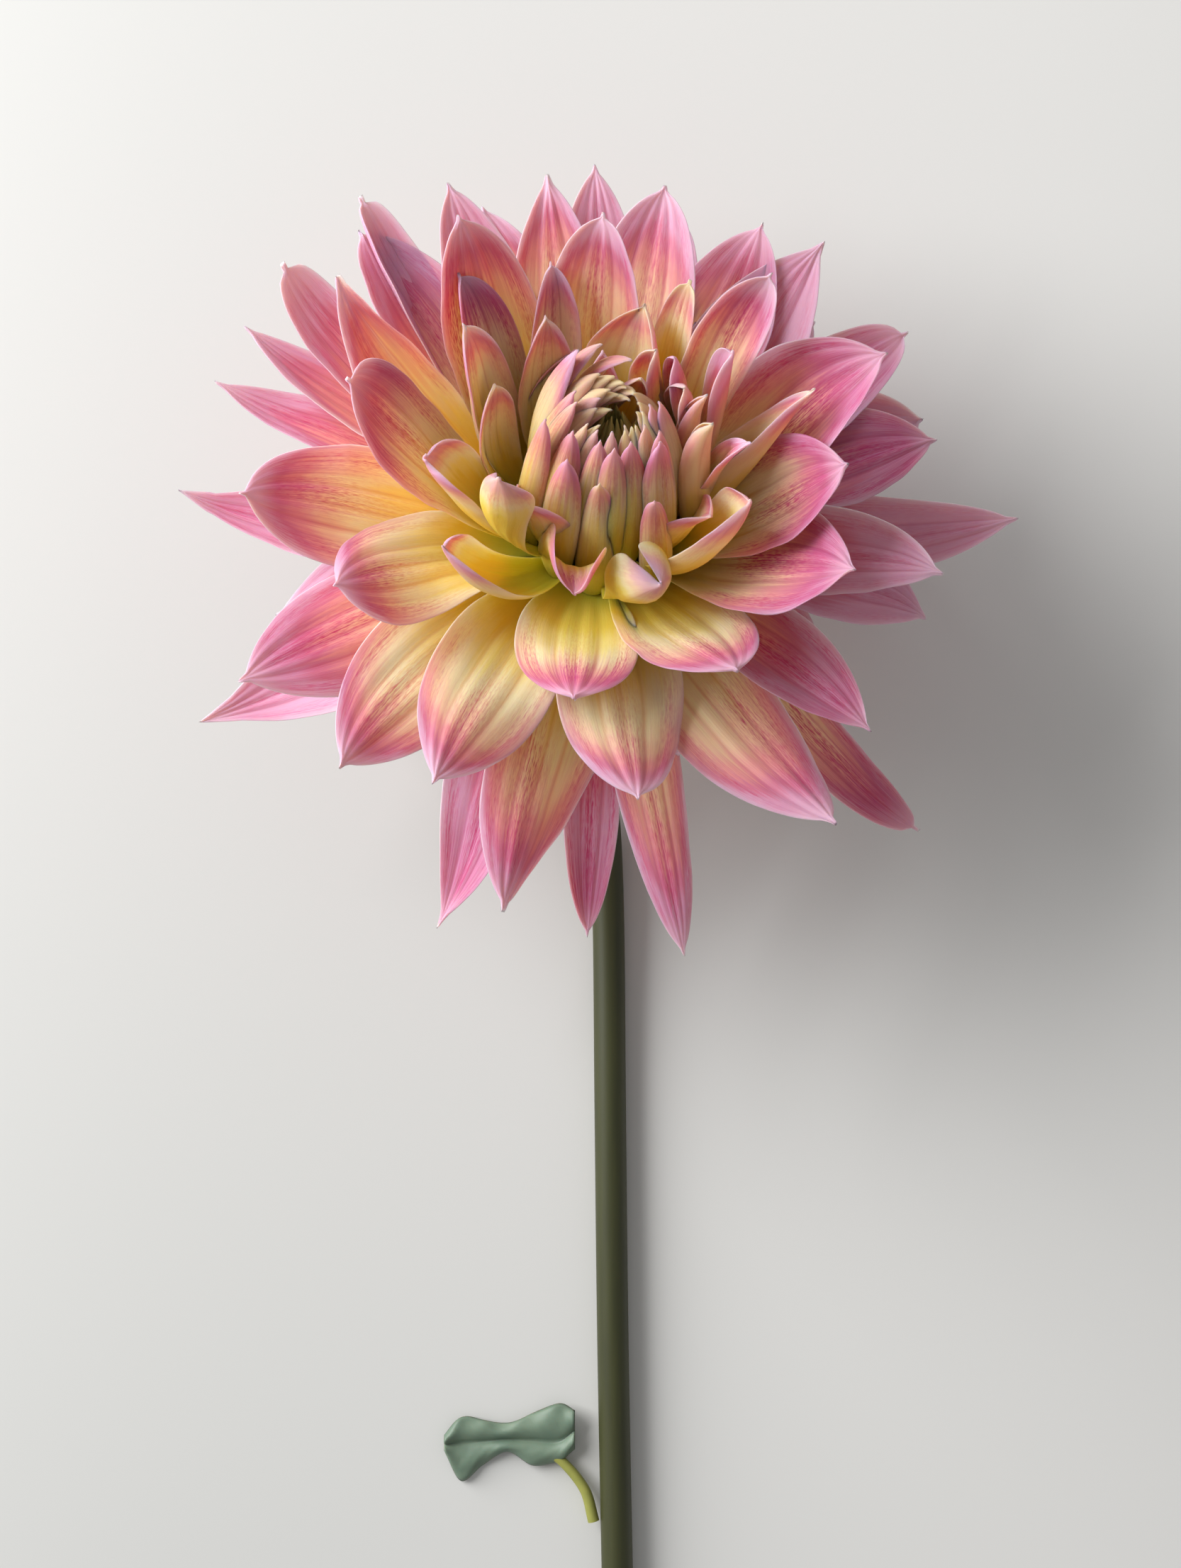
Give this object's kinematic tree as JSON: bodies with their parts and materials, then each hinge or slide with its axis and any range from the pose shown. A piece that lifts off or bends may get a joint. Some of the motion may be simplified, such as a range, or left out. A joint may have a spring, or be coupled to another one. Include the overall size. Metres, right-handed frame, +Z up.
{
  "type": "cut dahlia flower",
  "caption": "Large double dahlia bloom of pointed, cupped petals round a tight heart, on a bent-necked round stem with a small leaf, lying on a surface.",
  "frame": {"origin": "middle of the bounding box, on the level surface that the flower lies on", "axes": "+Z up; the stem lies along -Y and the bloom is at the +Y end, its face up and a little toward +Y; +X to the right seen from above with the bloom at the top"},
  "size_m": [0.1528, 0.2956, 0.0885],
  "materials": {
    "petals": "satin",
    "eye": "matte",
    "stem": "satin",
    "leaf": "satin"
  },
  "bodies": {
    "root": {"petals": "petals", "eye": "eye", "stem": "stem", "leaf": "leaf"}
  },
  "joints": []
}
